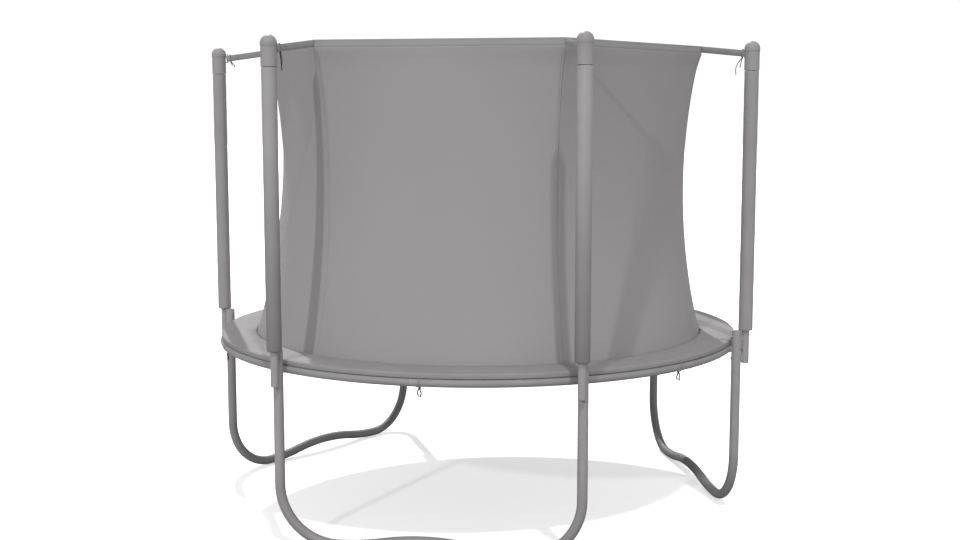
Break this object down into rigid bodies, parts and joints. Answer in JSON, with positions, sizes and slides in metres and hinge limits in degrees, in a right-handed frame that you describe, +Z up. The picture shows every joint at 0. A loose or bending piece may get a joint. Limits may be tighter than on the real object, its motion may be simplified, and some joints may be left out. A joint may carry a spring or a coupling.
{
  "type": "trampoline",
  "caption": "Round backyard trampoline with a sprung jumping mat, crowned spring pad, W-shaped leg frames and a tall hourglass net hung from padded poles.",
  "frame": {"origin": "centre of the jumping mat's top face", "axes": "+Z up; +X to the right and -Y towards the viewer who stands at the front leg frame; the ground is at z = -0.747 m"},
  "size_m": [2.5129, 2.4598, 2.103],
  "materials": {
    "frame_steel": "grey powder coat, satin",
    "zinc_hardware": "zinc plated",
    "moulded_plastic": "fine moulded texture",
    "sleeve_foam": "closed-cell foam with a smooth skin",
    "mat_fabric": "tight woven mat",
    "webbing": "flat woven webbing",
    "cord": "braided cord",
    "pad_vinyl": "soft coated vinyl",
    "net_fabric": "fine knitted mesh",
    "zip_fabric": "woven zip tape with moulded teeth"
  },
  "bodies": {
    "frame": {"cap_ties": "cord", "enclosure_net": "net_fabric", "foam_sleeve_front_left": "sleeve_foam", "foam_sleeve_front_right": "sleeve_foam", "foam_sleeve_left_front": "sleeve_foam", "foam_sleeve_left_rear": "sleeve_foam", "foam_sleeve_right_front": "sleeve_foam", "foam_sleeve_right_rear": "sleeve_foam", "leg_base_front": "frame_steel", "leg_base_left": "frame_steel", "leg_base_right": "frame_steel", "leg_plugs": "moulded_plastic", "leg_upright_front_left": "frame_steel", "leg_upright_front_right": "frame_steel", "leg_upright_left_front": "frame_steel", "leg_upright_left_rear": "frame_steel", "leg_upright_right_front": "frame_steel", "leg_upright_right_rear": "frame_steel", "net_straps": "webbing", "net_top_band": "webbing", "pad_backing": "pad_vinyl", "pad_cover": "pad_vinyl", "pad_foam": "sleeve_foam", "pad_ties": "cord", "pole_bolts": "zinc_hardware", "pole_caps": "moulded_plastic", "pole_lower_front_left": "frame_steel", "pole_lower_front_right": "frame_steel", "pole_lower_left_front": "frame_steel", "pole_lower_left_rear": "frame_steel", "pole_lower_right_front": "frame_steel", "pole_lower_right_rear": "frame_steel", "pole_nuts": "zinc_hardware", "pole_plugs": "moulded_plastic", "pole_spacers": "moulded_plastic", "pole_upper_front_left": "frame_steel", "pole_upper_front_right": "frame_steel", "pole_upper_left_front": "frame_steel", "pole_upper_left_rear": "frame_steel", "pole_upper_right_front": "frame_steel", "pole_upper_right_rear": "frame_steel", "ring_bolts": "zinc_hardware", "ring_joint_screws": "zinc_hardware", "ring_nuts": "zinc_hardware", "ring_saddles": "moulded_plastic", "ring_section_1": "frame_steel", "ring_section_2": "frame_steel", "ring_section_3": "frame_steel", "ring_section_4": "frame_steel", "ring_section_5": "frame_steel", "ring_section_6": "frame_steel", "springs": "zinc_hardware", "zip_tape": "zip_fabric"},
    "mat_edge": {"mat_hem": "webbing", "hem_loops": "webbing", "triangle_rings": "zinc_hardware", "net_lacing": "cord"},
    "mat": {"jumping_mat": "mat_fabric"},
    "zip_slider": {"zip_slider": "moulded_plastic"},
    "zip_pull": {"zip_pull": "moulded_plastic"}
  },
  "joints": [
    {"name": "edge_dip", "type": "slide", "parent": "frame", "child": "mat_edge", "axis": [0, 0, 1], "range_m": [-0.08, 0], "stiffness_N_per_m": 6000, "deforming": ["springs"]},
    {"name": "mat_dip", "type": "slide", "parent": "mat_edge", "child": "mat", "axis": [0, 0, 1], "range_m": [-0.24, 0], "stiffness_N_per_m": 3000},
    {"name": "zip_travel", "type": "hinge", "parent": "frame", "child": "zip_slider", "pos_m": [0.82478, 4.40715, 1.09541], "axis": [-0.9829, 0.184, 0], "range_deg": [0, 17.57]},
    {"name": "pull_swing", "type": "hinge", "parent": "zip_slider", "child": "zip_pull", "pos_m": [0.19043, 1.01753, 0.09739], "axis": [0.9829, -0.184, 0], "range_deg": [0, 150]}
  ],
  "couplings": [
    {"joint": "edge_dip", "follows": "mat_dip", "ratio": 0.33333}
  ]
}
